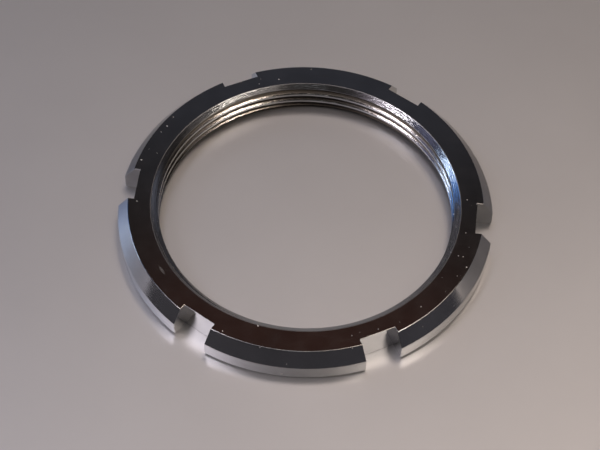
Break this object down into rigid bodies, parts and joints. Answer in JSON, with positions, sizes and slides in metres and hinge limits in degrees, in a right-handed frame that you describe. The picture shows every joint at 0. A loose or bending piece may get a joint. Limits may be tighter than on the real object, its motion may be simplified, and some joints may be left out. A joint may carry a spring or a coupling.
{
  "type": "slotted lock ring",
  "caption": "Thin chrome-plated round lock nut with spanner notches in its chamfered rim and a fine internal thread, for locking a threaded cup.",
  "frame": {"origin": "on the thread axis, in the plane of the seating face, which is the base of the part", "axes": "+Z along the thread axis, from the seating face towards the chamfered outer face; +X through the middle of one notch"},
  "size_m": [0.0428, 0.043, 0.0036],
  "materials": {
    "chrome_plate": "bright chrome plate over machined steel, lightly scratched"
  },
  "bodies": {
    "root": {"lock_ring": "chrome_plate"}
  },
  "joints": []
}
